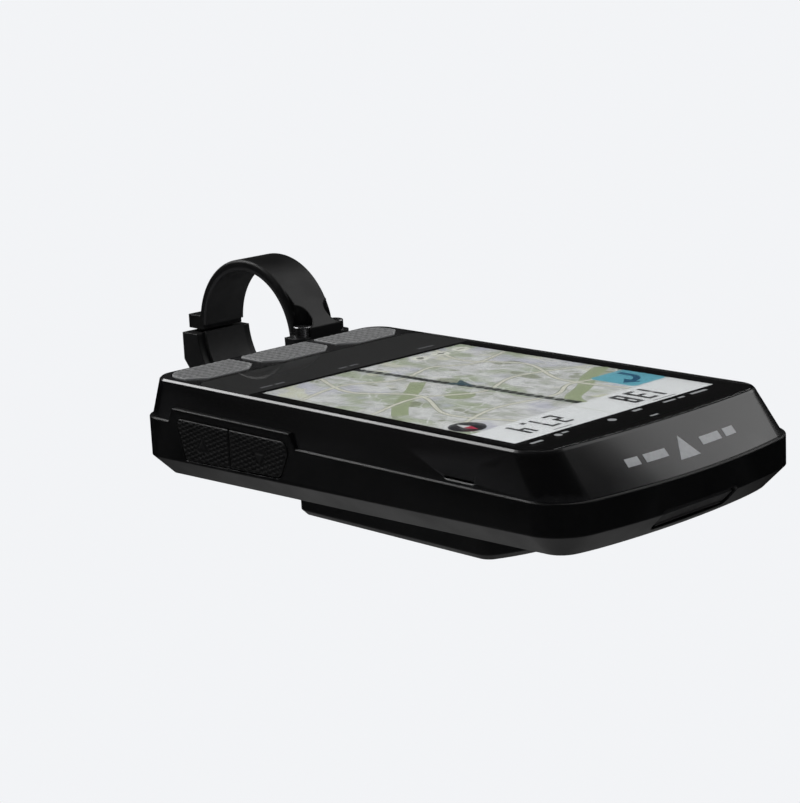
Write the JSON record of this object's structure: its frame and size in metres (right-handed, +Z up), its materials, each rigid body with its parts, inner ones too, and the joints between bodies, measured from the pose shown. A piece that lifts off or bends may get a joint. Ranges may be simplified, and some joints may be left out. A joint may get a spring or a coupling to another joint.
{
  "type": "cycling computer",
  "caption": "Cycling computer with a large screen, rear and side buttons and a charging port flap, on an out-front quarter-turn mount that clamps to the handlebar.",
  "frame": {"origin": "centre of the handlebar clamp's bore", "axes": "+X along the bar to the rider's right, +Y forward in the riding direction, +Z up"},
  "size_m": [0.0705, 0.1764, 0.0431],
  "materials": {
    "mount_shell": "fine matte moulding",
    "liner": "smooth rubber",
    "steel": "black oxide",
    "brass": "knurled",
    "socket": "hard wearing plastic",
    "case_gloss": "satin gloss black",
    "case_matte": "fine matte black",
    "seal": "soft silicone",
    "glass": "clear hardened glass",
    "display": "lit screen",
    "metal_frame": "stamped",
    "board": "solder mask",
    "ribbon": "polyimide film",
    "ceramic": "fired ceramic",
    "battery": "foil pouch",
    "lead": "insulated wire",
    "switch": "stamped switch shell",
    "plunger": "moulded",
    "key_grey": "textured rubber",
    "key_black": "textured rubber"
  },
  "bodies": {
    "mount": {"mount_arm": "mount_shell", "clamp_cap": "mount_shell", "bar_liners": "liner", "clamp_screws": "steel", "threaded_inserts": "brass", "socket_insert": "socket", "insert_screws": "steel"},
    "computer": {"housing_screws": "steel", "plate_screws": "steel", "quarter_turn_plate": "socket", "top_housing": "case_gloss", "bottom_housing": "case_matte", "housing_gasket": "seal", "glass_adhesive": "seal", "battery_pad": "seal", "vent_membrane": "seal", "cover_glass": "glass", "display_panel": "display", "display_frame": "metal_frame", "shield_can": "metal_frame", "usb_receptacle": "metal_frame", "buzzer": "metal_frame", "main_board": "board", "usb_board": "board", "side_switch_board": "board", "power_switch_board": "board", "display_ribbon": "ribbon", "usb_ribbon": "ribbon", "gnss_antenna": "ceramic", "pressure_sensor": "ceramic", "battery": "battery", "battery_lead": "lead", "battery_connector": "lead", "rear_switches": "switch", "side_switches": "switch", "power_switch": "switch"},
    "rear_key_left": {"rear_button_left": "key_grey", "rear_plunger_left": "plunger"},
    "rear_key_centre": {"rear_button_centre": "key_grey", "rear_plunger_centre": "plunger"},
    "rear_key_right": {"rear_button_right": "key_grey", "rear_plunger_right": "plunger"},
    "side_key_rear": {"side_button_rear": "key_black", "side_plunger_rear": "plunger"},
    "side_key_front": {"side_button_front": "key_black", "side_plunger_front": "plunger"},
    "power_key": {"power_button": "key_black", "power_plunger": "plunger"},
    "port_flap": {"port_cover": "key_black"}
  },
  "joints": [
    {"name": "quarter_turn", "type": "hinge", "parent": "mount", "child": "computer", "pos_m": [0.0256, 0.088, -0.0191], "axis": [0, 0, 1], "range_deg": [0, 90]},
    {"name": "rear_left_press", "type": "slide", "parent": "computer", "child": "rear_key_left", "axis": [0, 0, -1], "range_m": [0, 0.0005], "stiffness_N_per_m": 900, "springref_m": -0.0004},
    {"name": "rear_centre_press", "type": "slide", "parent": "computer", "child": "rear_key_centre", "axis": [0, 0, -1], "range_m": [0, 0.0005], "stiffness_N_per_m": 900, "springref_m": -0.0004},
    {"name": "rear_right_press", "type": "slide", "parent": "computer", "child": "rear_key_right", "axis": [0, 0, -1], "range_m": [0, 0.0005], "stiffness_N_per_m": 900, "springref_m": -0.0004},
    {"name": "side_rear_press", "type": "slide", "parent": "computer", "child": "side_key_rear", "axis": [-1, 0, 0], "range_m": [0, 0.00045], "stiffness_N_per_m": 900, "springref_m": -0.0004},
    {"name": "side_front_press", "type": "slide", "parent": "computer", "child": "side_key_front", "axis": [-1, 0, 0], "range_m": [0, 0.00045], "stiffness_N_per_m": 900, "springref_m": -0.0004},
    {"name": "power_press", "type": "slide", "parent": "computer", "child": "power_key", "axis": [1, 0, 0], "range_m": [0, 0.00045], "stiffness_N_per_m": 900, "springref_m": -0.0004},
    {"name": "port_cover_hinge", "type": "hinge", "parent": "computer", "child": "port_flap", "pos_m": [0.0256, 0.15, -0.01345], "axis": [-1, 0, 0], "range_deg": [0, 80], "stiffness_Nm_per_rad": 0.002, "springref_deg": -8.59}
  ]
}
